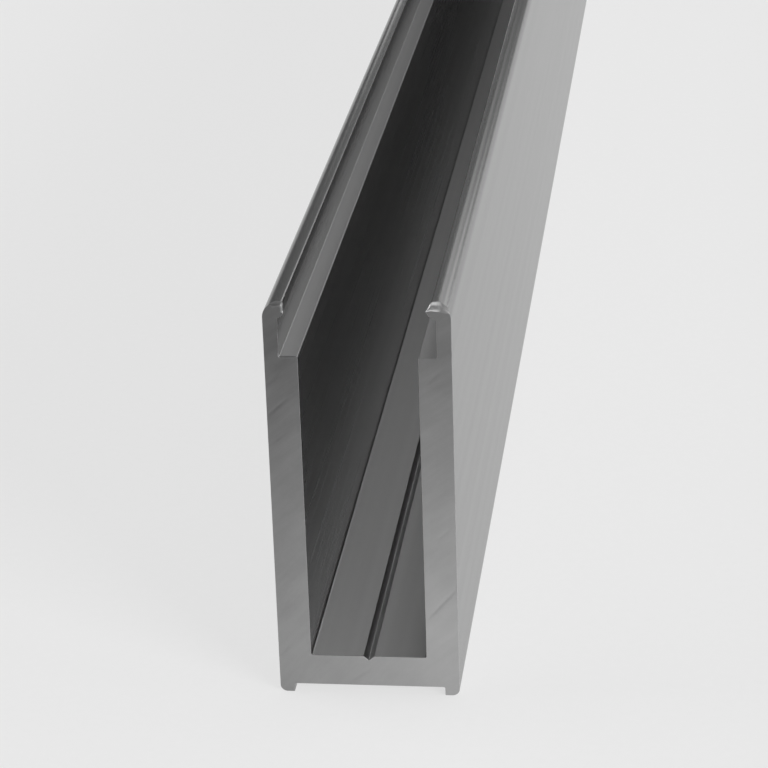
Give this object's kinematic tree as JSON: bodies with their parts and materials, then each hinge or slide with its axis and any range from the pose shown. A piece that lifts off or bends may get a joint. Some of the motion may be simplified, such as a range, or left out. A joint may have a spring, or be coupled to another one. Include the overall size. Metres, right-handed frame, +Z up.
{
  "type": "metal channel section",
  "caption": "Deep U-shaped extruded aluminium channel with stepped gasket rebates, rounded retaining noses, low feet and a drill line along the web, for holding a glass edge.",
  "frame": {"origin": "under the middle of the length, between the two feet, on the floor they stand on", "axes": "+Y along the length, +Z up out of the channel's mouth, +X across the section"},
  "size_m": [0.02, 1, 0.0462],
  "materials": {
    "mill_aluminium": "plain mill-finish extrusion with faint lengthwise die lines; saw-cut ends"
  },
  "bodies": {
    "root": {"u_channel": "mill_aluminium"}
  },
  "joints": []
}
